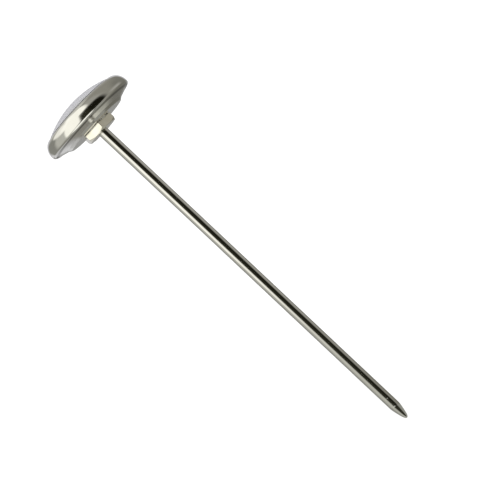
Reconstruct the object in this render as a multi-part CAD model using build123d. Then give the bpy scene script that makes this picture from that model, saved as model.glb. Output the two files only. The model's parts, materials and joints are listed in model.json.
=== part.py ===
from build123d import *

import math
import os

# Dial soil thermometer with a rigid pointed stem, in millimetres.
# The origin is the centre of the hexagon's soil side, and +Z runs along the stem's axis
# towards the dial. Twelve o'clock on the dial is +Y.

# Stem
stem_radius = 2.75
stem_bore_radius = 2.35
neck_radius = 2.5
neck_bore_radius = 2.1
neck_shoulder = 0.4
bore_lead_in = 0.4
stem_length = 203.2
tip_length = 13.5
nose_length = 8.95
tip_spigot_length = 3.0
stake_radius = 0.55
stake_depth = 0.2

# Hexagon nut and its hub
hex_width = 16.8
hex_height = 4.05
hex_turn = 39.0
chamfer_radius = 8.4
seal_washer_radius = 8.2
hub_radius = 6.0
hub_top = 8.5
tube_top = 5.5
groove_depth = 0.5
ring_groove_bottom = 6.75
ring_thickness = 0.8

# Head, from the boss that bears on the nut to the top of the window
sheet = 0.6
boss_face = 4.3
boss_radius = 17.2
boss_rise = 1.2
boss_wall = 1.7
bend_radius = 1.2
cone_edge = (24.3, 7.2)
case_shoulder = [(24.6, 7.8), (25.15, 8.0), (25.5, 8.5)]
case_rim_radius = 24.8
case_rim = 12.3
flange_opening = 21.8
bezel_sheet = 0.5
bezel_opening = 21.6
bezel_front = 15.3
lens_edge = 15.7
lens_top = 20.35
lens_thickness = 1.5
lens_flange_radius = 23.0
lens_flange_bottom = 12.95
lens_flange_top = 13.95
window_gap = 0.1

# Dial and pointer
dial_bottom = 10.0
dial_thickness = 0.6
dial_radius = 21.3
post_offset = 12.0
post_radius = 1.4
screw_radius = 0.7
pointer_bottom = 12.1
pointer_thickness = 0.3
pointer_length = 17.6
tail_length = 7.5
pointer_hub_radius = 1.8
spindle_top = 13.4
rest_temperature = 68.0
middle_temperature = 60.0
degrees_per_unit = 1.35

# Movement inside the stem
spindle_radius = 0.5
coil_radius = 1.6
coil_strip = 0.25
coil_strip_width = 2.0
coil_pitch = 2.9
coil_turns = 17
coil_hub_radius = 1.44
coil_hub_length = 2.6

# Clearances
running = 0.05
face_gap = 0.05

tip_point = -stem_length
tip_seam = tip_point + tip_length
nose_top = tip_point + nose_length
dial_top = dial_bottom + dial_thickness
anchor_bottom = tip_seam + tip_spigot_length
coil_bottom = anchor_bottom + 5.0
coil_top = coil_bottom + coil_pitch * coil_turns
case_floor = boss_face + sheet
clamp_washer_top = case_floor + face_gap + 0.5


def turned(*points):
    """A ring or a solid of revolution about Z, from its half section as (radius, height)."""
    return revolve(Plane.XZ * make_face(Polyline(*points, close=True)), Axis.Z)


def bush(radius, bore, bottom, top):
    return turned((bore, bottom), (radius, bottom), (radius, top), (bore, top))


def disc(radius, bottom, top):
    return bush(radius, 0, bottom, top)


def stake_mark():
    """A round punch mark on the seam between tube and tip, on the -Y side."""
    ball_radius = (stake_radius**2 + stake_depth**2) / (2 * stake_depth)
    centre = stem_radius + ball_radius - stake_depth
    return Pos(0, -centre, tip_seam) * Sphere(ball_radius)


def stem_tube():
    """Thin tube, swaged down to a neck where it enters the hexagon."""
    tube = turned(
        (stem_bore_radius, tip_seam),
        (stem_radius, tip_seam),
        (stem_radius, 0),
        (neck_radius, 0),
        (neck_radius, tube_top),
        (neck_bore_radius, tube_top),
        (neck_bore_radius, -neck_shoulder),
        (stem_bore_radius, -neck_shoulder),
    )
    return tube - stake_mark()


def stem_tip():
    """Solid ogive point with a spigot that fills the end of the tube."""
    nose = Spline(
        (0, tip_point),
        (1.02, tip_point + 0.9),
        (1.9, tip_point + 3.8),
        (stem_radius, nose_top),
        tangents=((1, 0), (0, 1)),
    )
    shank = Polyline(
        (stem_radius, nose_top),
        (stem_radius, tip_seam),
        (stem_bore_radius, tip_seam),
        (stem_bore_radius, anchor_bottom),
        (0, anchor_bottom),
        (0, tip_point),
    )
    return revolve(Plane.XZ * make_face([nose, shank]), Axis.Z) - stake_mark()


def hex_nut():
    """Hexagon with a chamfered soil side, and a hub that carries the head."""
    outline = RegularPolygon(hex_width / 2, 6, major_radius=False, rotation=hex_turn)
    hexagon = extrude(outline, hex_height)
    chamfer = turned(
        (0, 0), (chamfer_radius, 0), (chamfer_radius + hex_height, hex_height), (0, hex_height)
    )
    hub = disc(hub_radius, hex_height, hub_top)
    groove = bush(
        hub_radius,
        hub_radius - groove_depth,
        ring_groove_bottom,
        ring_groove_bottom + ring_thickness,
    )
    lead_in = turned(
        (0, 0), (neck_radius + bore_lead_in, 0), (neck_radius, bore_lead_in), (0, bore_lead_in)
    )
    return (hexagon & chamfer) + hub - groove - disc(neck_radius, 0, hub_top) - lead_in


def seal_washer():
    return bush(seal_washer_radius, hub_radius, hex_height, boss_face - face_gap)


def clamp_washer():
    return bush(9.2, hub_radius, case_floor + face_gap, clamp_washer_top)


def disc_spring():
    """Conical spring washer, pressed between the clamp washer and the retaining ring."""
    bottom = clamp_washer_top
    top = ring_groove_bottom
    metal = 0.4
    return turned(
        (hub_radius, top - metal),
        (8.8, bottom),
        (8.8, bottom + metal),
        (hub_radius, top),
    )


def retaining_ring():
    """Open snap ring in the hub's groove, with an eye for pliers in each lug."""
    inner = hub_radius - groove_depth
    bottom = ring_groove_bottom
    top = ring_groove_bottom + ring_thickness
    ring = bush(inner + 1.7, inner, bottom, top)
    eyes = []
    for side in (-1, 1):
        place = Rot(0, 0, side * 20) * Pos(inner + 1.6, 0, 0)
        ring += place * disc(1.4, bottom, top)
        eyes.append(place * disc(0.6, bottom, top))
    opening = Pos(inner + 1.5, 0, (bottom + top) / 2) * Box(4.4, 1.6, 2 * ring_thickness)
    bore = disc(inner, bottom, top)
    return ring - eyes - opening - bore


def top_bearing():
    """Flanged bearing pressed into the hub above the tube."""
    flange_top = hub_top + 0.5
    bore = spindle_radius + running
    return turned(
        (bore, tube_top),
        (neck_radius, tube_top),
        (neck_radius, hub_top),
        (3.6, hub_top),
        (3.6, flange_top),
        (bore, flange_top),
    )


def guide(middle):
    return bush(stem_bore_radius, spindle_radius + running, middle - 2.0, middle + 2.0)


def coil_anchor():
    """Plug in the tube, with a stub that the coil's bottom turn is welded round."""
    plug_top = coil_bottom - 1.05
    return turned(
        (0, anchor_bottom),
        (stem_bore_radius, anchor_bottom),
        (stem_bore_radius, plug_top),
        (coil_hub_radius, plug_top),
        (coil_hub_radius, plug_top + coil_hub_length),
        (0, plug_top + coil_hub_length),
    )


def bimetal_coil():
    """Flat strip wound into a helix, wide along the stem and thin across it."""
    path = Helix(coil_pitch, coil_pitch * coil_turns, coil_radius, center=(0, 0, coil_bottom))
    start = Plane(origin=path @ 0, x_dir=(1, 0, 0), z_dir=path % 0)
    strip = start * Rectangle(coil_strip, coil_strip_width)
    return sweep(strip, path=path, is_frenet=True)


def coil_collet():
    """Collar pressed on the spindle, inside the coil's top turn."""
    top = coil_top + 0.8
    return bush(coil_hub_radius, spindle_radius, top - coil_hub_length, top)


def spindle():
    return disc(spindle_radius, coil_top + 0.8 - coil_hub_length, spindle_top)


def thrust_collar():
    return bush(1.3, spindle_radius, tube_top - 1.3, tube_top - 0.3)


def pointer_hub():
    """Bush pressed on the spindle, with a shoulder under the pointer."""
    return turned(
        (spindle_radius, pointer_bottom - 0.5),
        (2.5, pointer_bottom - 0.5),
        (2.5, pointer_bottom),
        (pointer_hub_radius, pointer_bottom),
        (pointer_hub_radius, pointer_bottom + 0.9),
        (spindle_radius, pointer_bottom + 0.9),
    )


def pointer():
    """Flat tapered hand with a round tail, turned clockwise from twelve to its rest reading."""
    blade = make_face(
        Polyline(
            (-1.15, 0), (-0.12, pointer_length), (0.12, pointer_length), (1.15, 0), close=True
        )
    )
    tail = make_face(
        Polyline((-1.15, 0), (-0.9, -tail_length), (0.9, -tail_length), (1.15, 0), close=True)
    )
    shape = blade + tail + Circle(3.2) + Pos(0, -tail_length) * Circle(2.1)
    shape -= Circle(pointer_hub_radius)
    clockwise = (rest_temperature - middle_temperature) * degrees_per_unit
    flat = Pos(0, 0, pointer_bottom) * Rot(0, 0, -clockwise) * shape
    return extrude(flat, pointer_thickness)


def case_line(inset):
    """The case's section from hub hole to rim, moved inwards by the given depth of metal."""
    lean = inset * 0.42
    boss_edge = (boss_radius - lean, boss_face + inset)
    root = (boss_radius + boss_wall - lean, boss_face + boss_rise + inset)
    edge = (cone_edge[0] - lean, cone_edge[1] + inset)
    return boss_edge, root, edge


def case_cup():
    """Drawn cup: raised boss, shallow cone, shoulder under the bezel, wall and inward flange."""
    hole = hub_radius + running
    outside = [
        (hole, boss_face),
        *case_line(0),
        *case_shoulder,
        (case_rim_radius, case_rim),
        (flange_opening, case_rim),
    ]
    inside = [
        (flange_opening, case_rim - sheet),
        (case_rim_radius - sheet, case_rim - sheet),
        (case_shoulder[-1][0] - sheet - 0.05, case_shoulder[-1][1] + 0.35),
        *reversed(case_line(sheet)),
        (hole, boss_face + sheet),
    ]
    cup = turned(*outside, *inside)
    bends = [
        edge
        for edge in cup.edges().filter_by(GeomType.CIRCLE)
        if boss_radius - sheet < edge.radius < boss_radius + boss_wall + sheet
    ]
    return fillet(bends, bend_radius)


def bezel_ring():
    """Rolled ring: lip over the window, rounded band, and a curl that grips the case's shoulder."""
    band = Spline(
        (22.4, bezel_front),
        (24.55, 13.95),
        (25.8, 11.8),
        (26.25, 9.5),
        (26.0, 8.0),
        (24.6, 7.2),
        tangents=((1, 0), (-1, -0.2)),
    )
    inside = Polyline(
        (24.6, 7.2),
        *case_shoulder,
        (25.7, 9.2),
        (25.3, 11.6),
        (case_rim_radius, case_rim),
        (24.0, 13.55),
        (22.65, bezel_front - bezel_sheet),
        (bezel_opening, bezel_front - bezel_sheet),
        (bezel_opening, bezel_front),
        (22.4, bezel_front),
    )
    return revolve(Plane.XZ * make_face([band, inside]), Axis.Z)


def lens():
    """Domed window with a flange that the gasket wraps."""
    dome_radius = bezel_opening - window_gap
    sag = lens_top - lens_edge
    ball = (dome_radius**2 + sag**2) / (2 * sag)
    centre = lens_top - ball
    inner_ball = ball - lens_thickness
    inner_radius = dome_radius - lens_thickness
    inner_edge = centre + math.sqrt(inner_ball**2 - inner_radius**2)
    outer = RadiusArc((0, lens_top), (dome_radius, lens_edge), ball)
    inner = RadiusArc((0, lens_top - lens_thickness), (inner_radius, inner_edge), inner_ball)
    skirt = Polyline(
        (dome_radius, lens_edge),
        (dome_radius, lens_flange_top),
        (lens_flange_radius, lens_flange_top),
        (lens_flange_radius, lens_flange_bottom),
        (inner_radius, lens_flange_bottom),
        (inner_radius, inner_edge),
    )
    middle = Line((0, lens_top), (0, lens_top - lens_thickness))
    return revolve(Plane.XZ * make_face([outer, skirt, inner, middle]), Axis.Z)


def lens_gasket():
    """Channel-section rubber ring round the edge of the window."""
    return turned(
        (flange_opening, case_rim),
        (24.3, case_rim),
        (24.3, lens_flange_bottom),
        (23.6, 13.8),
        (22.75, 14.5),
        (flange_opening, 14.5),
        (flange_opening, lens_flange_top),
        (lens_flange_radius, lens_flange_top),
        (lens_flange_radius, lens_flange_bottom),
        (flange_opening, lens_flange_bottom),
    )


def dial_plate():
    """Flat disc with a hole for the spindle and one for each screw."""
    plate = bush(dial_radius, 2.0, dial_bottom, dial_top)
    for side in (-1, 1):
        plate -= Pos(side * post_offset, 0, 0) * disc(screw_radius, dial_bottom, dial_top)
    return plate


def dial_posts():
    """Two tapped posts that stand on the case floor."""
    post = disc(post_radius, case_floor, dial_bottom)
    tapped = post - disc(screw_radius, dial_bottom - 3.0, dial_bottom)
    return Compound([Pos(side * post_offset, 0, 0) * tapped for side in (-1, 1)])


def dial_screws():
    """Two slotted pan-head screws."""
    head_top = dial_top + 0.8
    head = disc(1.6, dial_top, head_top)
    head = fillet(head.edges().group_by(Axis.Z)[-1], 0.4)
    slot = Pos(0, 0, head_top) * Box(4, 0.4, 0.8)
    screw = head + disc(screw_radius, dial_bottom - 2.8, dial_top) - slot
    return Compound([Pos(side * post_offset, 0, 0) * screw for side in (-1, 1)])


SUB_PARTS = {
    "stem_tube": stem_tube(),
    "stem_tip": stem_tip(),
    "hex_nut": hex_nut(),
    "seal_washer": seal_washer(),
    "clamp_washer": clamp_washer(),
    "disc_spring": disc_spring(),
    "retaining_ring": retaining_ring(),
    "top_bearing": top_bearing(),
    "upper_guide": guide(-40.0),
    "lower_guide": guide(coil_top + 6.0),
    "coil_anchor": coil_anchor(),
    "bimetal_coil": bimetal_coil(),
    "coil_collet": coil_collet(),
    "spindle": spindle(),
    "thrust_collar": thrust_collar(),
    "pointer_hub": pointer_hub(),
    "pointer": pointer(),
    "case_cup": case_cup(),
    "bezel_ring": bezel_ring(),
    "lens": lens(),
    "lens_gasket": lens_gasket(),
    "dial_plate": dial_plate(),
    "dial_posts": dial_posts(),
    "dial_screws": dial_screws(),
}

os.makedirs("parts", exist_ok=True)
for name, shape in SUB_PARTS.items():
    export_step(shape, f"parts/{name}.step")
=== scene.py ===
import json
import math

import bmesh
import bpy
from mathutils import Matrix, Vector


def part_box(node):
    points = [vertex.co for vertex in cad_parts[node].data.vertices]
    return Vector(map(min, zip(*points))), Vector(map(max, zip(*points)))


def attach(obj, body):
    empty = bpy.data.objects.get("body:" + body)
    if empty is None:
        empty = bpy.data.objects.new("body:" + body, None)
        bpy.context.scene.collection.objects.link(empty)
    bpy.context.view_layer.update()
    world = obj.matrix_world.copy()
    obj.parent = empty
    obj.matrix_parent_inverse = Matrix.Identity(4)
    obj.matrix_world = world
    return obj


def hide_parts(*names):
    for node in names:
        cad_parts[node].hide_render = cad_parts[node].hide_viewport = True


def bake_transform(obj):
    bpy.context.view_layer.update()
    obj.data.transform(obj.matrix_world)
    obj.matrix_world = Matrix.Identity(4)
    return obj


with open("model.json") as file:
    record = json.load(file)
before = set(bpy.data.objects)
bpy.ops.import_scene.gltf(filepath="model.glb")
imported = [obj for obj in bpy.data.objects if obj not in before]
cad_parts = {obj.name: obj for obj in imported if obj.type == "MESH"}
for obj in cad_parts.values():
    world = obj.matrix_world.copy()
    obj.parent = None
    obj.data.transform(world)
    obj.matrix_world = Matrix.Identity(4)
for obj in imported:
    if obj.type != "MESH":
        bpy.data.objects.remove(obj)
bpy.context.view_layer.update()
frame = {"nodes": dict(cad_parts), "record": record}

MM = 0.001
CAD = frame["nodes"]


# ---------------------------------------------------------------- sizes from the frame, in mm


def low(node):
    return [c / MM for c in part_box(node)[0]]


def high(node):
    return [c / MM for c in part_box(node)[1]]


STEM_RADIUS = high("stem_tube")[0]
TUBE_BOTTOM = low("stem_tube")[2]
TUBE_TOP = high("stem_tube")[2]
TIP = low("stem_tip")[2]
TIP_SPIGOT_TOP = high("stem_tip")[2]
BOSS_FACE = low("case_cup")[2]
CASE_RIM = high("case_cup")[2]
CASE_RADIUS = high("case_cup")[0]
BEZEL_REAR = low("bezel_ring")[2]
BEZEL_FRONT = high("bezel_ring")[2]
LENS_TOP = high("lens")[2]
LENS_BOTTOM = low("lens")[2]
LENS_FLANGE_RADIUS = high("lens")[0]
NUT_TOP = low("seal_washer")[2]
HUB_TOP = high("hex_nut")[2]
DIAL_FACE = high("dial_plate")[2]
COIL_BOTTOM = low("bimetal_coil")[2]

# The rest of the sizes repeat the CAD's driving dimensions.
SHEET = 0.6
BEZEL_SHEET = 0.5
BEZEL_OPENING = 21.6
BOSS_RADIUS = 17.2
BOSS_WALL = 1.7
BOSS_RISE = 1.2
BEND = 1.2
CONE_EDGE = (24.3, 7.2)
CASE_SHOULDER = [(24.6, 7.8), (25.15, 8.0), (CASE_RADIUS, 8.5)]
CASE_RIM_RADIUS = 24.8
LENS_EDGE = 15.7
LENS_THICKNESS = 1.5
LENS_SKIRT = 0.9
NECK_RADIUS = 2.5
STEM_BORE = 2.35
HUB_RADIUS = 6.0
HEX_APOTHEM = 16.8 / 2
CHAMFER_RADIUS = 8.4
BORE_LEAD_IN = 0.4
NOSE_LENGTH = 8.95
HEX_TURN = 39.0
DEGREES_PER_F = 1.35
F_MIDDLE = 60.0


# ---------------------------------------------------------------- mesh helpers


def new_object(name, mesh):
    obj = bpy.data.objects.new(name, mesh)
    bpy.context.scene.collection.objects.link(obj)
    return obj


def shade(obj, sharp_degrees=38):
    mesh = obj.data
    for polygon in mesh.polygons:
        polygon.use_smooth = True
    mesh.set_sharp_from_angle(angle=math.radians(sharp_degrees))


def soften_edges(obj, width_mm, segments=3, angle=40):
    bevel = obj.modifiers.new("edges", "BEVEL")
    bevel.width = width_mm * MM
    bevel.segments = segments
    bevel.limit_method = "ANGLE"
    bevel.angle_limit = math.radians(angle)
    bevel.harden_normals = True


def rounded(corners, steps=7):
    """Points of a section whose corners (radius, height, fillet) are rounded by arcs."""
    points = []
    count = len(corners)
    for i, (r, z, fillet) in enumerate(corners):
        here = Vector((r, z))
        if not fillet:
            points.append(here)
            continue
        before = (Vector(corners[i - 1][:2]) - here).normalized()
        after = (Vector(corners[(i + 1) % count][:2]) - here).normalized()
        half = before.angle(after) / 2
        reach = fillet / math.tan(half)
        centre = here + (before + after).normalized() * fillet / math.sin(half)
        start = here + before * reach - centre
        end = here + after * reach - centre
        sweep = start.angle_signed(end)
        for k in range(steps + 1):
            turn = sweep * k / steps
            c, s = math.cos(turn), math.sin(turn)
            points.append(centre + Vector((c * start.x + s * start.y, c * start.y - s * start.x)))
    return [tuple(p) for p in points]


def curve_through(points, start, end, steps=10):
    """Smooth section line through the points, leaving along start and arriving along end."""
    knots = [Vector(p) for p in points]
    tangents = [Vector(start).normalized() * (knots[1] - knots[0]).length]
    for before, after in zip(knots[:-2], knots[2:]):
        tangents.append((after - before) / 2)
    tangents.append(Vector(end).normalized() * (knots[-1] - knots[-2]).length)
    line = [tuple(knots[0])]
    for a, b, ta, tb in zip(knots[:-1], knots[1:], tangents[:-1], tangents[1:]):
        for k in range(1, steps + 1):
            t = k / steps
            h00 = 2 * t**3 - 3 * t**2 + 1
            h10 = t**3 - 2 * t**2 + t
            h01 = -2 * t**3 + 3 * t**2
            h11 = t**3 - t**2
            line.append(tuple(a * h00 + ta * h10 + b * h01 + tb * h11))
    return line


def lathe(name, section, segments=192, closed=True, shape=None):
    """Solid of revolution from (radius, height) points in mm. shape may move each ring's points."""
    bm = bmesh.new()
    rings = []
    for index, (r, z) in enumerate(section):
        if r < 1e-6:
            rings.append([bm.verts.new((0, 0, z * MM))] * segments)
            continue
        ring = []
        for k in range(segments):
            angle = 2 * math.pi * k / segments
            radius, height = shape(index, angle, r, z) if shape else (r, z)
            ring.append(
                bm.verts.new((radius * math.cos(angle) * MM, radius * math.sin(angle) * MM, height * MM))
            )
        rings.append(ring)
    pairs = list(zip(rings[:-1], rings[1:]))
    if closed:
        pairs.append((rings[-1], rings[0]))
    for lower, upper in pairs:
        for k in range(segments):
            nxt = (k + 1) % segments
            corners = []
            for vert in (lower[k], lower[nxt], upper[nxt], upper[k]):
                if vert not in corners:
                    corners.append(vert)
            if len(corners) > 2:
                bm.faces.new(corners)
    bmesh.ops.recalc_face_normals(bm, faces=bm.faces)
    mesh = bpy.data.meshes.new(name)
    bm.to_mesh(mesh)
    bm.free()
    obj = new_object(name, mesh)
    shade(obj)
    return obj


# ---------------------------------------------------------------- material helpers


class Paint:
    """A node material with a Principled surface, and short calls that add nodes to it."""

    def __init__(self, name):
        self.material = bpy.data.materials.new(name)
        self.material.use_nodes = True
        self.tree = self.material.node_tree
        self.surface = self.tree.nodes["Principled BSDF"]

    def node(self, kind, *inputs, out=0, **options):
        """A node whose inputs, by place or by name, are values or other nodes' outputs."""
        made = self.tree.nodes.new(kind)
        named = {}
        for key, value in options.items():
            if hasattr(made, key):
                setattr(made, key, value)
            else:
                named[key.replace("_", " ")] = value
        for key, value in [*enumerate(inputs), *named.items()]:
            self.feed(made.inputs[key], value)
        return made.outputs[out]

    def feed(self, socket, value):
        if isinstance(value, bpy.types.NodeSocket):
            self.tree.links.new(value, socket)
        elif value is not None:
            socket.default_value = value

    def set(self, **values):
        for key, value in values.items():
            self.feed(self.surface.inputs[key.replace("_", " ")], value)
        return self.material

    def math(self, operation, a, b=0.0, c=None):
        return self.node("ShaderNodeMath", a, b, c, operation=operation)

    def object_point(self):
        return self.node("ShaderNodeTexCoord", out=3)

    def noise(self, vector, scale, detail=3.0, w=None, roughness=0.5):
        made = self.tree.nodes.new("ShaderNodeTexNoise")
        made.noise_dimensions = "3D" if w is None else "4D"
        self.feed(made.inputs["Vector"], vector)
        self.feed(made.inputs["Scale"], scale)
        self.feed(made.inputs["Detail"], detail)
        self.feed(made.inputs["Roughness"], roughness)
        if w is not None:
            self.feed(made.inputs["W"], w)
        return made.outputs["Fac"]

    def spread(self, value, from_low, from_high, to_low=0.0, to_high=1.0):
        """value moved from one range to another, and held at its ends."""
        return self.node(
            "ShaderNodeMapRange", value, from_low, from_high, to_low, to_high, clamp=True
        )

    def mix(self, factor, a, b):
        made = self.tree.nodes.new("ShaderNodeMix")
        made.data_type = "RGBA"
        self.feed(made.inputs["Factor"], factor)
        self.feed(made.inputs[6], a)
        self.feed(made.inputs[7], b)
        return made.outputs[2]

    def bump(self, height, distance_mm, strength=1.0, normal=None):
        return self.node(
            "ShaderNodeBump", Strength=strength, Distance=distance_mm * MM, Height=height, Normal=normal
        )

    def turned_point(self, around):
        """(direction round Z times around, height in mm), and the distance from Z in mm."""
        x, y, z = (self.node("ShaderNodeSeparateXYZ", self.object_point(), out=k) for k in range(3))
        squares = self.math("ADD", self.math("MULTIPLY", x, x), self.math("MULTIPLY", y, y))
        distance = self.math("SQRT", squares)
        per = self.math("DIVIDE", around, self.math("MAXIMUM", distance, 1e-6))
        point = self.node(
            "ShaderNodeCombineXYZ",
            self.math("MULTIPLY", x, per),
            self.math("MULTIPLY", y, per),
            self.math("MULTIPLY", z, 1 / MM),
        )
        return point, self.math("MULTIPLY", distance, 1 / MM)


def colour(r, g, b):
    return (r, g, b, 1.0)


def wear(paint, point):
    """Sparse short marks from handling: 0 on clean metal, 1 in a mark."""
    bent = paint.node("ShaderNodeVectorMath", point, (0.3, 1.0, 0.12), operation="MULTIPLY")
    streaks = paint.noise(bent, 2600, 1.0)
    where = paint.noise(point, 140, 2.0)
    return paint.math(
        "MULTIPLY", paint.spread(streaks, 0.68, 0.74), paint.spread(where, 0.52, 0.66)
    )


def turned_metal(name, light, dark, roughness, lines_per_mm, line_depth, around=0.35, seam=None):
    """Metal finished on a lathe or by spinning: fine lines that run round Z, smudges and small marks.
    seam is a height in mm round which the base colour is painted darker: painted shade for the crease between
    the bezel and the case."""
    paint = Paint(name)
    point = paint.object_point()
    around_point, distance = paint.turned_point(around)
    lines = paint.noise(around_point, lines_per_mm, 2.0, w=paint.math("MULTIPLY", distance, 1.0))
    smudge = paint.noise(point, 90, 4.0)
    marks = wear(paint, point)
    tone = paint.mix(paint.spread(smudge, 0.35, 0.7), colour(*light), colour(*dark))
    tone = paint.mix(paint.math("MULTIPLY", marks, 0.25), tone, colour(*(0.6 * c for c in dark)))
    rough = paint.spread(smudge, 0.3, 0.75, roughness * 0.75, roughness * 1.35)
    rough = paint.math("ADD", rough, paint.spread(lines, 0.35, 0.65, -0.15 * roughness, 0.25 * roughness))
    rough = paint.math("ADD", rough, paint.math("MULTIPLY", marks, 0.02))
    relief = paint.bump(lines, line_depth, 0.5)
    # Painted shade: a dark band in the base colour round the seam height, standing in for the shadow in the
    # crease between bezel and case.
    if seam:
        height = paint.math("MULTIPLY", paint.node("ShaderNodeSeparateXYZ", point, out=2), 1 / MM)
        painted_seam_shade = paint.spread(paint.math("ABSOLUTE", paint.math("SUBTRACT", height, seam)), 0.35, 0.1)
        tone = paint.mix(paint.math("MULTIPLY", painted_seam_shade, 0.75), tone, colour(0.10, 0.095, 0.08))
    return paint.set(Base_Color=tone, Roughness=rough, Normal=relief, Metallic=1.0)


def plated_nut():
    """Bright nickel plate over brass, with a faint orange-peel and drawn faces."""
    paint = Paint("plated_brass")
    point = paint.object_point()
    stretched = paint.node("ShaderNodeVectorMath", point, (1.0, 1.0, 0.25), operation="MULTIPLY")
    peel = paint.noise(point, 900, 3.0)
    drawn = paint.noise(stretched, 1500, 2.0)
    patch = paint.noise(point, 220, 3.0)
    marks = wear(paint, point)
    tone = paint.mix(paint.spread(patch, 0.35, 0.68), colour(0.90, 0.88, 0.785), colour(0.83, 0.80, 0.685))
    tone = paint.mix(paint.math("MULTIPLY", marks, 0.3), tone, colour(0.55, 0.46, 0.28))
    rough = paint.spread(patch, 0.3, 0.7, 0.05, 0.10)
    rough = paint.math("ADD", rough, paint.math("MULTIPLY", marks, 0.15))
    relief = paint.bump(peel, 0.006, 0.3)
    relief = paint.bump(drawn, 0.004, 0.4, relief)
    return paint.set(Base_Color=tone, Roughness=rough, Normal=relief, Metallic=1.0)


def plain_metal(name, light, dark, roughness, grain):
    """Small inner metal parts: machined, with an uneven tone."""
    paint = Paint(name)
    point = paint.object_point()
    around_point, distance = paint.turned_point(0.5)
    lines = paint.noise(around_point, grain, 2.0, w=distance)
    patch = paint.noise(point, 400, 3.0)
    tone = paint.mix(paint.spread(patch, 0.35, 0.7), colour(*light), colour(*dark))
    rough = paint.spread(lines, 0.3, 0.7, roughness * 0.8, roughness * 1.3)
    return paint.set(
        Base_Color=tone, Roughness=rough, Metallic=1.0, Normal=paint.bump(lines, 0.006, 0.6)
    )


def bimetal_strip():
    """Two alloys rolled together: a brassy side and a steel side, with rolled streaks."""
    paint = Paint("bimetal")
    point = paint.object_point()
    around_point, distance = paint.turned_point(0.5)
    side = paint.spread(distance, 1.58, 1.63)
    streaks = paint.noise(around_point, 9.0, 3.0)
    inner = paint.mix(streaks, colour(0.62, 0.50, 0.30), colour(0.72, 0.60, 0.40))
    outer = paint.mix(streaks, colour(0.46, 0.45, 0.44), colour(0.58, 0.57, 0.55))
    rough = paint.spread(paint.noise(point, 700), 0.3, 0.7, 0.28, 0.45)
    return paint.set(
        Base_Color=paint.mix(side, inner, outer), Roughness=rough, Metallic=1.0,
        Normal=paint.bump(streaks, 0.004, 0.6),
    )


def rubber():
    paint = Paint("dark_rubber")
    point = paint.object_point()
    grain = paint.noise(point, 2500, 3.0)
    dust = paint.noise(point, 300, 4.0)
    tone = paint.mix(paint.spread(dust, 0.45, 0.75), colour(0.018, 0.017, 0.016), colour(0.05, 0.047, 0.043))
    rough = paint.spread(dust, 0.3, 0.7, 0.55, 0.8)
    return paint.set(Base_Color=tone, Roughness=rough, Normal=paint.bump(grain, 0.02, 0.4))


def pale_plastic():
    """Skived PTFE: waxy, off-white, with faint skiving lines."""
    paint = Paint("pale_ptfe")
    point = paint.object_point()
    skived = paint.node("ShaderNodeVectorMath", point, (1.0, 0.1, 1.0), operation="MULTIPLY")
    lines = paint.noise(skived, 2200, 2.0)
    stain = paint.noise(point, 350, 3.0)
    tone = paint.mix(paint.spread(stain, 0.45, 0.8), colour(0.86, 0.85, 0.80), colour(0.66, 0.63, 0.55))
    rough = paint.spread(lines, 0.3, 0.7, 0.38, 0.5)
    return paint.set(Base_Color=tone, Roughness=rough, Normal=paint.bump(lines, 0.004, 0.4))


def window():
    """Clear acrylic with the faintest wipe marks."""
    paint = Paint("clear_window")
    point = paint.object_point()
    wiped = paint.node("ShaderNodeVectorMath", point, (1.0, 0.15, 1.0), operation="MULTIPLY")
    marks = paint.spread(paint.noise(wiped, 1800, 1.0), 0.7, 0.78)
    rough = paint.math("MULTIPLY_ADD", marks, 0.02, 0.004)
    return paint.set(
        Base_Color=colour(0.975, 0.98, 0.98), Roughness=rough, IOR=1.49, Transmission_Weight=1.0
    )


def dial_paint():
    """Warm white enamel over aluminium, with a very fine orange-peel."""
    paint = Paint("dial_paint")
    point = paint.object_point()
    peel = paint.noise(point, 1400, 3.0)
    tone = paint.mix(
        paint.spread(paint.noise(point, 50, 3.0), 0.35, 0.7),
        colour(0.90, 0.895, 0.875),
        colour(0.86, 0.855, 0.83),
    )
    rough = paint.spread(peel, 0.3, 0.7, 0.34, 0.46)
    return paint.set(Base_Color=tone, Roughness=rough, Normal=paint.bump(peel, 0.01, 0.3))


def ink(name, tone, roughness=0.5):
    """Printing ink or hand paint, a little uneven in tone and gloss."""
    paint = Paint(name)
    point = paint.object_point()
    cover = paint.noise(point, 1800, 3.0)
    lighter = tuple(min(1.0, c * 1.25 + 0.01) for c in tone)
    shade_of = paint.mix(paint.spread(cover, 0.4, 0.75), colour(*tone), colour(*lighter))
    rough = paint.spread(cover, 0.3, 0.7, roughness * 0.85, roughness * 1.15)
    return paint.set(Base_Color=shade_of, Roughness=rough, Normal=paint.bump(cover, 0.004, 0.4))


MATERIALS = {
    "polished_stainless": turned_metal(
        "polished_stainless", (0.76, 0.755, 0.72), (0.71, 0.705, 0.665), 0.08, 9.0, 0.0006
    ),
    # The case's metal gets a band of painted shade round the seam at 7.1 mm.
    "satin_stainless": turned_metal(
        "satin_stainless", (0.74, 0.735, 0.70), (0.68, 0.675, 0.635), 0.14, 7.0, 0.0008, seam=7.1
    ),
    "plated_brass": plated_nut(),
    "spring_steel": plain_metal("spring_steel", (0.42, 0.41, 0.40), (0.30, 0.29, 0.28), 0.35, 6.0),
    "spindle_steel": plain_metal("spindle_steel", (0.62, 0.62, 0.61), (0.5, 0.5, 0.49), 0.25, 8.0),
    "brass": plain_metal("brass", (0.80, 0.62, 0.30), (0.66, 0.48, 0.20), 0.28, 6.0),
    "bimetal": bimetal_strip(),
    "dark_rubber": rubber(),
    "pale_ptfe": pale_plastic(),
    "clear_window": window(),
    "dial_paint": dial_paint(),
    "black_paint": ink("black_paint", (0.012, 0.012, 0.013), 0.4),
}
# The bezel's metal gets a band of painted shade round the seam at 7.2 mm, where its curl meets the case.
BEZEL_METAL = turned_metal(
    "bezel_stainless", (0.76, 0.755, 0.72), (0.70, 0.695, 0.655), 0.08, 9.0, 0.0006, seam=7.2
)
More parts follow.
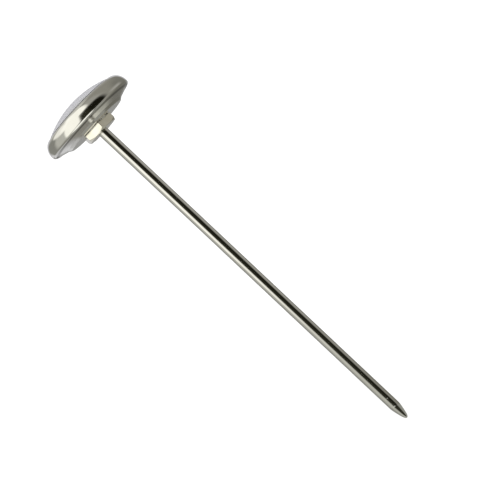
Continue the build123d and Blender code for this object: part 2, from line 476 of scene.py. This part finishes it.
INKS = {
    "black": ink("ink_black", (0.015, 0.015, 0.016)),
    "red": ink("ink_red", (0.55, 0.03, 0.02)),
    "green": ink("ink_green", (0.03, 0.30, 0.07)),
    "blue": ink("ink_blue", (0.03, 0.12, 0.50)),
}


def finish_piece(obj, body, slot, *nodes, material=None):
    """Gives a piece its material and its body, and hides the CAD nodes it stands for."""
    obj.data.materials.clear()
    obj.data.materials.append(material or MATERIALS[slot])
    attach(obj, body)
    if nodes:
        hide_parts(*nodes)
    return obj


# ---------------------------------------------------------------- stem


def stake_depth(angle, z):
    """How far the punch mark on the seam presses a point of the stem's wall in, in mm."""
    radius, depth = 0.5, 0.08
    ball = (radius**2 + depth**2) / (2 * depth)
    off = math.remainder(angle + math.pi / 2, 2 * math.pi) * STEM_RADIUS
    distance = math.hypot(off, z - TUBE_BOTTOM)
    if distance >= radius:
        return 0.0
    return math.sqrt(ball**2 - distance**2) - (ball - depth)


def pressed(_, angle, r, z):
    """A ring's point, moved in where it lies on the outside and in the punch mark."""
    return (r - stake_depth(angle, z) if r > STEM_BORE + 0.1 else r), z


def stem():
    """Polished tube with its swaged neck. Rings lie close together round the punch mark."""
    edge = 0.03
    fine = [TUBE_BOTTOM + edge + 0.06 * k for k in range(12)]
    coarse = [TUBE_BOTTOM + 1.0 + k * (-TUBE_BOTTOM - 1.2) / 24 for k in range(25)]
    outside = [(STEM_RADIUS - edge, TUBE_BOTTOM)] + [(STEM_RADIUS, z) for z in fine + coarse]
    section = [
        (STEM_BORE, TUBE_BOTTOM),
        *outside,
        (STEM_RADIUS, -0.1),
        (STEM_RADIUS - 0.1, 0.0),
        (NECK_RADIUS, 0.0),
        (NECK_RADIUS, TUBE_TOP),
        (NECK_RADIUS - 0.4, TUBE_TOP),
        (NECK_RADIUS - 0.4, -0.4),
        (STEM_BORE, -0.8),
    ]

    return finish_piece(
        lathe("stem", section, 160, shape=pressed), "stem", "polished_stainless", "stem_tube"
    )


def point():
    """Solid ground point with a blunted nose."""
    edge = 0.03
    nose = curve_through(
        [(0, TIP), (1.02, TIP + 0.9), (1.9, TIP + 3.8), (STEM_RADIUS, TIP + NOSE_LENGTH)],
        (1, 0),
        (0, 1),
        steps=14,
    )
    fine = [(STEM_RADIUS, TUBE_BOTTOM - 0.75 + 0.06 * k) for k in range(13)]
    section = [
        *nose,
        *fine,
        (STEM_RADIUS - edge, TUBE_BOTTOM),
        (STEM_BORE, TUBE_BOTTOM),
        (STEM_BORE, TIP_SPIGOT_TOP - 0.3),
        (STEM_BORE - 0.3, TIP_SPIGOT_TOP),
        (0, TIP_SPIGOT_TOP),
    ]

    return finish_piece(
        lathe("point", section, 160, closed=False, shape=pressed),
        "stem",
        "polished_stainless",
        "stem_tip",
    )


def hex_radius(angle, corner):
    """Distance from the axis to a hexagon's side, with its corners rounded to the radius corner."""
    side = math.pi / 3
    off = abs(math.remainder(angle - math.radians(HEX_TURN), side))
    flat = HEX_APOTHEM / math.cos(side / 2 - off)
    centre = (HEX_APOTHEM - corner) / math.cos(side / 2)
    tangent = math.atan2(corner / 2, centre + corner * math.cos(side / 2))
    if off >= tangent:
        return flat
    return centre * math.cos(off) + math.sqrt(corner**2 - (centre * math.sin(off)) ** 2)


def nut():
    """Hexagon with a turned chamfer on its soil side, and the hub that carries the head."""
    chamfer = CHAMFER_RADIUS
    corner = 0.3
    groove = 5.5
    wide = 99.0
    section = [
        (NECK_RADIUS, BORE_LEAD_IN),
        (NECK_RADIUS + BORE_LEAD_IN, 0.0),
        (chamfer - 0.12, 0.0),
        (chamfer + 0.05, 0.08),
        (wide, 0.0),
        (wide, 0.14),
        (wide, 0.34),
        (wide, NUT_TOP - 0.1),
        (wide - 0.1, NUT_TOP),
        (HUB_RADIUS, NUT_TOP),
        (HUB_RADIUS, 6.75),
        (groove, 6.75),
        (groove, 7.55),
        (HUB_RADIUS, 7.55),
        (HUB_RADIUS, HUB_TOP - 0.3),
        (HUB_RADIUS - 0.3, HUB_TOP),
        (NECK_RADIUS, HUB_TOP),
    ]

    def sided(_, angle, r, z):
        if r < chamfer + 1:
            return r, z
        side = hex_radius(angle, corner) - (wide - r)
        if z > 1:
            return side, z
        # The chamfer is a cone, so it meets a corner higher up than the middle of a side.
        meets = side - chamfer
        if z == 0.0:
            return side - 0.1, meets - 0.1
        return side, meets + z

    obj = lathe("nut", section, 360, shape=sided)
    shade(obj, 24)
    return finish_piece(obj, "stem", "plated_brass", "hex_nut")


def coil():
    """The strip of the bimetal helix, which winds up between the stem and the spindle."""
    pitch, turns, radius = 2.9, 17, 1.6
    thick, wide = 0.25, 2.0
    per_turn = 40
    start = COIL_BOTTOM + wide / 2
    bm = bmesh.new()
    rings = []
    for k in range(turns * per_turn + 1):
        angle = 2 * math.pi * k / per_turn
        height = start + pitch * k / per_turn
        ring = []
        for dr, dz in ((-1, -1), (1, -1), (1, 1), (-1, 1)):
            r = radius + dr * thick / 2
            ring.append(
                bm.verts.new(
                    (r * math.cos(angle) * MM, r * math.sin(angle) * MM, (height + dz * wide / 2 * 0.96) * MM)
                )
            )
        rings.append(ring)
    for lower, upper in zip(rings[:-1], rings[1:]):
        for k in range(4):
            nxt = (k + 1) % 4
            bm.faces.new((lower[k], lower[nxt], upper[nxt], upper[k]))
    bm.faces.new(rings[0][::-1])
    bm.faces.new(rings[-1])
    bmesh.ops.recalc_face_normals(bm, faces=bm.faces)
    mesh = bpy.data.meshes.new("coil")
    bm.to_mesh(mesh)
    bm.free()
    obj = new_object("coil", mesh)
    shade(obj)
    mesh.materials.append(MATERIALS["bimetal"])
    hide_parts("bimetal_coil")
    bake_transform(obj)
    return obj


# ---------------------------------------------------------------- head


def case_back():
    """Drawn back shell: raised boss, shallow cone, shoulder under the bezel, wall and inward flange."""
    hole = HUB_RADIUS + 0.05
    rim = CASE_RIM_RADIUS
    lean = SHEET * 0.42
    section = rounded(
        [
            (hole, BOSS_FACE, 0.12),
            (BOSS_RADIUS, BOSS_FACE, BEND),
            (BOSS_RADIUS + BOSS_WALL, BOSS_FACE + BOSS_RISE, BEND),
            (*CONE_EDGE, 0.15),
            *((r, z, 0) for r, z in CASE_SHOULDER),
            (rim, CASE_RIM, 0.35),
            (21.8, CASE_RIM, 0.1),
            (21.8, CASE_RIM - SHEET, 0.1),
            (rim - SHEET, CASE_RIM - SHEET, 0.2),
            (CASE_RADIUS - SHEET - 0.05, 8.95, 0),
            (CONE_EDGE[0] - lean, CONE_EDGE[1] + SHEET, 0),
            (BOSS_RADIUS + BOSS_WALL - lean, BOSS_FACE + BOSS_RISE + SHEET, BEND),
            (BOSS_RADIUS - lean, BOSS_FACE + SHEET, BEND),
            (hole, BOSS_FACE + SHEET, 0.12),
        ]
    )
    return finish_piece(
        lathe("case_back", section, 256), "head", "satin_stainless", "case_cup"
    )


def bezel():
    """Rolled ring with a lip over the window and a curl round the case's shoulder."""
    band = curve_through(
        [
            (22.4, BEZEL_FRONT),
            (24.55, 13.95),
            (25.8, 11.8),
            (26.25, 9.5),
            (26.0, 8.0),
            (24.7, BEZEL_REAR),
        ],
        (1, -0.05),
        (-1, -0.2),
        steps=12,
    )
    inside = [
        (24.6, BEZEL_REAR + 0.12),
        *CASE_SHOULDER,
        (25.7, 9.2),
        (25.3, 11.6),
        (CASE_RIM_RADIUS, CASE_RIM),
        (24.0, 13.55),
        (22.65, BEZEL_FRONT - BEZEL_SHEET),
        (BEZEL_OPENING + 0.1, BEZEL_FRONT - BEZEL_SHEET),
        (BEZEL_OPENING, BEZEL_FRONT - BEZEL_SHEET + 0.1),
        (BEZEL_OPENING, BEZEL_FRONT - 0.15),
        (BEZEL_OPENING + 0.15, BEZEL_FRONT),
    ]
    return finish_piece(
        lathe("bezel", band + inside, 256), "head", "polished_stainless", "bezel_ring",
        material=BEZEL_METAL,
    )


def window_dome():
    """Domed window with a flange under the bezel's lip. The dome runs down almost to the lip."""
    dome = BEZEL_OPENING - 0.1
    edge = LENS_EDGE - 0.25
    sag = LENS_TOP - edge
    ball = (dome**2 + sag**2) / (2 * sag)
    centre = LENS_TOP - ball
    inner_ball = ball - LENS_THICKNESS
    inner = dome - LENS_SKIRT
    rings = 28
    outer_line = []
    inner_line = []
    for k in range(rings + 1):
        outer_angle = math.asin((dome - 0.06) / ball) * k / rings
        inner_angle = math.asin(inner / inner_ball) * k / rings
        outer_line.append((ball * math.sin(outer_angle), centre + ball * math.cos(outer_angle)))
        inner_line.append((inner_ball * math.sin(inner_angle), centre + inner_ball * math.cos(inner_angle)))
    flange_top = LENS_BOTTOM + 1.0
    skirt = [
        (dome, edge - 0.06),
        (dome, flange_top + 0.1),
        (dome + 0.1, flange_top),
        (LENS_FLANGE_RADIUS - 0.1, flange_top),
        (LENS_FLANGE_RADIUS, flange_top - 0.1),
        (LENS_FLANGE_RADIUS, LENS_BOTTOM + 0.1),
        (LENS_FLANGE_RADIUS - 0.1, LENS_BOTTOM),
        (inner, LENS_BOTTOM),
    ]
    section = outer_line + skirt + inner_line[::-1]
    return finish_piece(
        lathe("window_dome", section, 192, closed=False), "head", "clear_window", "lens"
    )


# ---------------------------------------------------------------- dial printing

PRINT = 0.02


def dial_angle(fahrenheit):
    """Direction of a reading, in radians from +X. Twelve o'clock is +Y and hotter is clockwise."""
    return math.radians(90 - (fahrenheit - F_MIDDLE) * DEGREES_PER_F)


def to_fahrenheit(celsius):
    return celsius * 1.8 + 32


def flat_mesh(name, outlines):
    """Thin printed shapes on the dial, from closed outlines of (x, y) points in mm."""
    bm = bmesh.new()
    for outline in outlines:
        bottom = [bm.verts.new((x * MM, y * MM, (DIAL_FACE + 0.002) * MM)) for x, y in outline]
        top = [bm.verts.new((x * MM, y * MM, (DIAL_FACE + PRINT) * MM)) for x, y in outline]
        bm.faces.new(top)
        bm.faces.new(bottom[::-1])
        for k in range(len(outline)):
            nxt = (k + 1) % len(outline)
            bm.faces.new((bottom[k], bottom[nxt], top[nxt], top[k]))
    bmesh.ops.recalc_face_normals(bm, faces=bm.faces)
    mesh = bpy.data.meshes.new(name)
    bm.to_mesh(mesh)
    bm.free()
    return new_object(name, mesh)


def tick(angle, inner, outer, width):
    along = Vector((math.cos(angle), math.sin(angle)))
    across = Vector((-along.y, along.x)) * width / 2
    return [along * inner - across, along * outer - across, along * outer + across, along * inner + across]


def band_outline(start, end, inner, outer, steps=60):
    """Ring segment between two readings."""
    angles = [dial_angle(start + (end - start) * k / steps) for k in range(steps + 1)]
    out = [(outer * math.cos(a), outer * math.sin(a)) for a in angles]
    back = [(inner * math.cos(a), inner * math.sin(a)) for a in reversed(angles)]
    return out + back


def text_mesh(name, labels):
    """One mesh of upright labels: (text, x, y, height in mm)."""
    parts = []
    for text, x, y, size in labels:
        curve = bpy.data.curves.new(name, "FONT")
        curve.body = text
        curve.size = size * 1.35 * MM
        curve.align_x = "CENTER"
        curve.align_y = "CENTER"
        curve.extrude = PRINT / 2 * MM
        curve.resolution_u = 6
        letters = new_object(name + "_letters", curve)
        letters.location = (x * MM, y * MM, (DIAL_FACE + PRINT / 2 + 0.001) * MM)
        parts.append(letters)
    bpy.context.view_layer.update()
    graph = bpy.context.evaluated_depsgraph_get()
    bm = bmesh.new()
    for letters in parts:
        mesh = bpy.data.meshes.new_from_object(letters.evaluated_get(graph))
        mesh.transform(letters.matrix_world)
        bm.from_mesh(mesh)
        bpy.data.meshes.remove(mesh)
        bpy.data.objects.remove(letters)
    joined = bpy.data.meshes.new(name)
    bm.to_mesh(joined)
    bm.free()
    return new_object(name, joined)


def on_dial(obj, ink_name):
    return finish_piece(obj, "head", "dial_paint", material=INKS[ink_name])


def dial_printing():
    """Fahrenheit scale outside, Celsius scale inside, and a thin coloured band between."""
    ticks = []
    for reading in range(-40, 161, 2):
        if reading % 20 == 0:
            inner, width = 17.5, 0.34
        elif reading % 10 == 0:
            inner, width = 18.0, 0.26
        else:
            inner, width = 18.7, 0.16
        ticks.append(tick(dial_angle(reading), inner, 19.7, width))
    on_dial(flat_mesh("fahrenheit_ticks", ticks), "black")
    numbers = []
    for reading in range(-40, 161, 20):
        angle = dial_angle(reading)
        numbers.append((str(reading), 15.3 * math.cos(angle), 15.3 * math.sin(angle), 2.2))
    on_dial(text_mesh("fahrenheit_numbers", numbers + [("°F", 0, -15.2, 2.2)]), "black")

    ticks = []
    for reading in range(-40, 71, 2):
        inner, width = (9.2, 0.22) if reading % 10 == 0 else (9.6, 0.12)
        ticks.append(tick(dial_angle(to_fahrenheit(reading)), inner, 10.2, width))
    on_dial(flat_mesh("celsius_ticks", ticks), "red")
    numbers = []
    for reading in range(-40, 71, 10):
        angle = dial_angle(to_fahrenheit(reading))
        numbers.append((str(reading), 7.9 * math.cos(angle), 7.9 * math.sin(angle), 1.25))
    on_dial(text_mesh("celsius_numbers", numbers + [("°C", 0, -9.9, 1.5)]), "red")

    for name, start, end in (("blue", -40, 50), ("green", 50, 86), ("red", 86, 160)):
        on_dial(flat_mesh("range_" + name, [band_outline(start, end, 16.85, 17.2)]), name)


# ---------------------------------------------------------------- CAD nodes that stay


def keep_cad_nodes():
    slots = {row["node"]: row["material_slot"] for row in frame["record"]["subparts"]}
    for name, obj in CAD.items():
        if obj.hide_render:
            continue
        for place in obj.material_slots:
            place.material = MATERIALS[slots[name]]
        if name not in ("dial_plate", "disc_spring", "lens_gasket"):
            soften_edges(obj, 0.05, segments=2)


# ---------------------------------------------------------------- studio


def camera():
    """Level with the middle of the stem and square to it, rolled so that the point is lower right."""
    data = bpy.data.cameras.new("camera")
    data.sensor_width = 36.0
    data.lens = 160.56
    data.clip_start = 0.01
    data.clip_end = 50.0
    obj = new_object("camera", data)
    obj.location = (0.0070, -1.0857, -0.0916)
    obj.rotation_euler = (math.radians(90), math.radians(46.77), 0)
    bpy.context.scene.camera = obj


def smooth_step(value, start, end):
    t = min(1.0, max(0.0, (value - start) / (end - start)))
    return t * t * (3 - 2 * t)


def inside(azimuth, elevation, centre, reach, power, softness):
    """1 inside a soft-edged panel of the studio, 0 outside it. Angles are in degrees."""
    across = abs(azimuth - centre[0]) / reach[0]
    up = abs(elevation - centre[1]) / reach[1]
    distance = (across**power + up**power) ** (1 / power)
    return 1 - smooth_step(distance, 1 - softness, 1 + softness)


# What the polished metal reflects. Azimuth is 0 towards the camera and +90 towards +X. Each panel
# covers part of those before it: centre, reach to each side, power, softness and radiance.
# A power of 2 makes an ellipse, and a high one makes a rectangle.
STUDIO_WALL = (0.40, 0.39, 0.36)
STUDIO = (
    ((0, -90), (400, 42), 8, 0.25, (0.34, 0.335, 0.31)),
    ((180, 5), (75, 32), 3, 0.35, (0.27, 0.265, 0.24)),
    ((180, -42), (110, 32), 3, 0.3, (0.29, 0.28, 0.25)),
    ((100, 40), (38, 90), 4, 0.35, (0.31, 0.30, 0.265)),
    ((125, 5), (30, 24), 3, 0.5, (0.23, 0.225, 0.20)),
    ((100, 1), (22, 9), 3, 0.5, (0.44, 0.43, 0.40)),
    ((-120, 15), (40, 40), 3, 0.35, (0.29, 0.29, 0.265)),
    ((-80, 32), (27, 44), 3, 0.35, (0.60, 0.595, 0.55)),
    ((-90, 92), (96, 28), 4, 0.25, (1.30, 1.28, 1.20)),
    ((180, 90), (60, 17), 3, 0.4, (0.70, 0.69, 0.64)),
    ((-105, 51), (34, 14), 3, 0.25, (1.14, 1.12, 1.05)),
    ((-168, 52), (26, 23), 3, 0.25, (0.60, 0.595, 0.55)),
    ((-36, 75), (59, 37), 5, 0.14, (1.30, 1.28, 1.20)),
    ((-39, 40), (26, 48), 6, 0.14, (1.26, 1.24, 1.15)),
    ((-44, -22), (26, 15), 4, 0.2, (0.60, 0.60, 0.54)),
    ((25, 4), (38, 32), 2.4, 0.24, (0.010, 0.009, 0.006)),
    ((14, -12), (37, 15), 3, 0.36, (0.016, 0.016, 0.010)),
    ((2, 4), (13, 26), 3, 0.5, (0.028, 0.027, 0.018)),
    ((-10, -82), (80, 13), 4, 0.2, (1.00, 0.99, 0.93)),
    ((-16, -50), (38, 33), 4, 0.14, (1.22, 1.21, 1.14)),
    ((-158, -12), (20, 20), 4, 0.2, (0.74, 0.74, 0.76)),
    ((-163, -30), (11, 4), 3, 0.3, (0.52, 0.52, 0.53)),
    ((-142, -36), (17, 17), 3, 0.3, (0.60, 0.60, 0.61)),
    ((140, -32), (36, 34), 2, 0.5, (0.19, 0.185, 0.16)),
    ((164, -22), (13, 18), 3, 0.3, (0.20, 0.195, 0.175)),
    ((174.5, -38), (4.2, 8), 2, 0.5, (0.50, 0.495, 0.44)),
    ((177.3, -40), (1.9, 7), 2, 0.4, (0.86, 0.85, 0.76)),
    ((180, -6), (30, 5), 3, 0.3, (0.33, 0.33, 0.32)),
    ((180, 19), (24, 20), 4, 0.15, (0.63, 0.625, 0.65)),
)


# What is seen through the window, and what lights the dial: pale walls under a bright ceiling.
CEILING_WALL = (0.63, 0.625, 0.65)
CEILING = (((0, 90), (400, 42), 8, 0.25, (1.9, 1.9, 1.88)),)

# A small tent round the point, seen only by the nose.
TENT_WALL = (0.36, 0.36, 0.33)
TENT = (
    ((-46, -35), (32, 40), 4, 0.25, (0.56, 0.56, 0.51)),
    ((12, -20), (40, 45), 3, 0.36, (0.03, 0.03, 0.02)),
)


def light_from(azimuth, elevation, wall, panels):
    light = Vector(wall)
    for centre, reach, power, softness, radiance in panels:
        off = math.remainder(azimuth - centre[0], 360)
        share = inside(centre[0] + off, elevation, centre, reach, power, softness)
        light = light.lerp(Vector(radiance), share)
    return light


def glowing_dome(name, radius, height, wall, panels, top=90):
    """A ball of light round (0, 0, height), open above the elevation top, that no camera sees."""
    columns = 360
    rows = 90 + top
    bm = bmesh.new()
    layer = bm.verts.layers.float_color.new("light")
    grid = []
    for row in range(rows + 1):
        elevation = row - 90
        line = []
        for column in range(columns):
            azimuth = column - 180
            a, e = math.radians(azimuth), math.radians(elevation)
            vert = bm.verts.new(
                (
                    radius * math.sin(a) * math.cos(e),
                    -radius * math.cos(a) * math.cos(e),
                    radius * math.sin(e) + height,
                )
            )
            vert[layer] = (*light_from(azimuth, elevation, wall, panels), 1.0)
            line.append(vert)
        grid.append(line)
    for lower, upper in zip(grid[:-1], grid[1:]):
        for k in range(columns):
            nxt = (k + 1) % columns
            bm.faces.new((lower[k], lower[nxt], upper[nxt], upper[k]))
    mesh = bpy.data.meshes.new(name)
    bm.to_mesh(mesh)
    bm.free()
    dome = new_object(name, mesh)
    glow = bpy.data.materials.new(name)
    glow.use_nodes = True
    tree = glow.node_tree
    tree.nodes.clear()
    painted = tree.nodes.new("ShaderNodeVertexColor")
    painted.layer_name = "light"
    emission = tree.nodes.new("ShaderNodeEmission")
    output = tree.nodes.new("ShaderNodeOutputMaterial")
    tree.links.new(painted.outputs["Color"], emission.inputs["Color"])
    tree.links.new(emission.outputs["Emission"], output.inputs["Surface"])
    glow.cycles.emission_sampling = "NONE"
    mesh.materials.append(glow)
    dome.visible_camera = False
    dome.visible_diffuse = False
    dome.visible_shadow = False
    return dome


def studio():
    """Domes of soft light and dark flags for reflections and the window, a white world, a pale floor."""
    reflected = glowing_dome("studio_dome", 2.0, 0.0, STUDIO_WALL, STUDIO)
    reflected.visible_transmission = False
    ceiling = glowing_dome("window_dome_light", 2.1, 0.0, CEILING_WALL, CEILING)
    ceiling.visible_glossy = False
    tent = glowing_dome("point_tent", 0.13, TIP * MM, TENT_WALL, TENT, top=-10)
    tent.visible_transmission = False

    floor_mesh = bpy.data.meshes.new("floor")
    bm = bmesh.new()
    bmesh.ops.create_circle(bm, cap_ends=True, segments=96, radius=4.0)
    bm.to_mesh(floor_mesh)
    bm.free()
    floor = new_object("floor", floor_mesh)
    floor.location = (0, 0, -0.45)
    floor.visible_glossy = False
    paint = Paint("floor")
    grain = paint.noise(paint.object_point(), 30, 3.0)
    floor_mesh.materials.append(
        paint.set(
            Base_Color=colour(0.93, 0.93, 0.92),
            Roughness=paint.spread(grain, 0.3, 0.7, 0.6, 0.7),
            Specular_IOR_Level=0.0,
        )
    )

    world = bpy.data.worlds.new("world")
    bpy.context.scene.world = world
    world.use_nodes = True
    world.node_tree.nodes["Background"].inputs["Color"].default_value = (1.0, 1.0, 1.0, 1.0)
    world.node_tree.nodes["Background"].inputs["Strength"].default_value = 1.15
    bpy.context.scene.view_settings.view_transform = "Standard"


camera()
stem()
point()
nut()
coil()
case_back()
bezel()
window_dome()
dial_printing()
keep_cad_nodes()
studio()
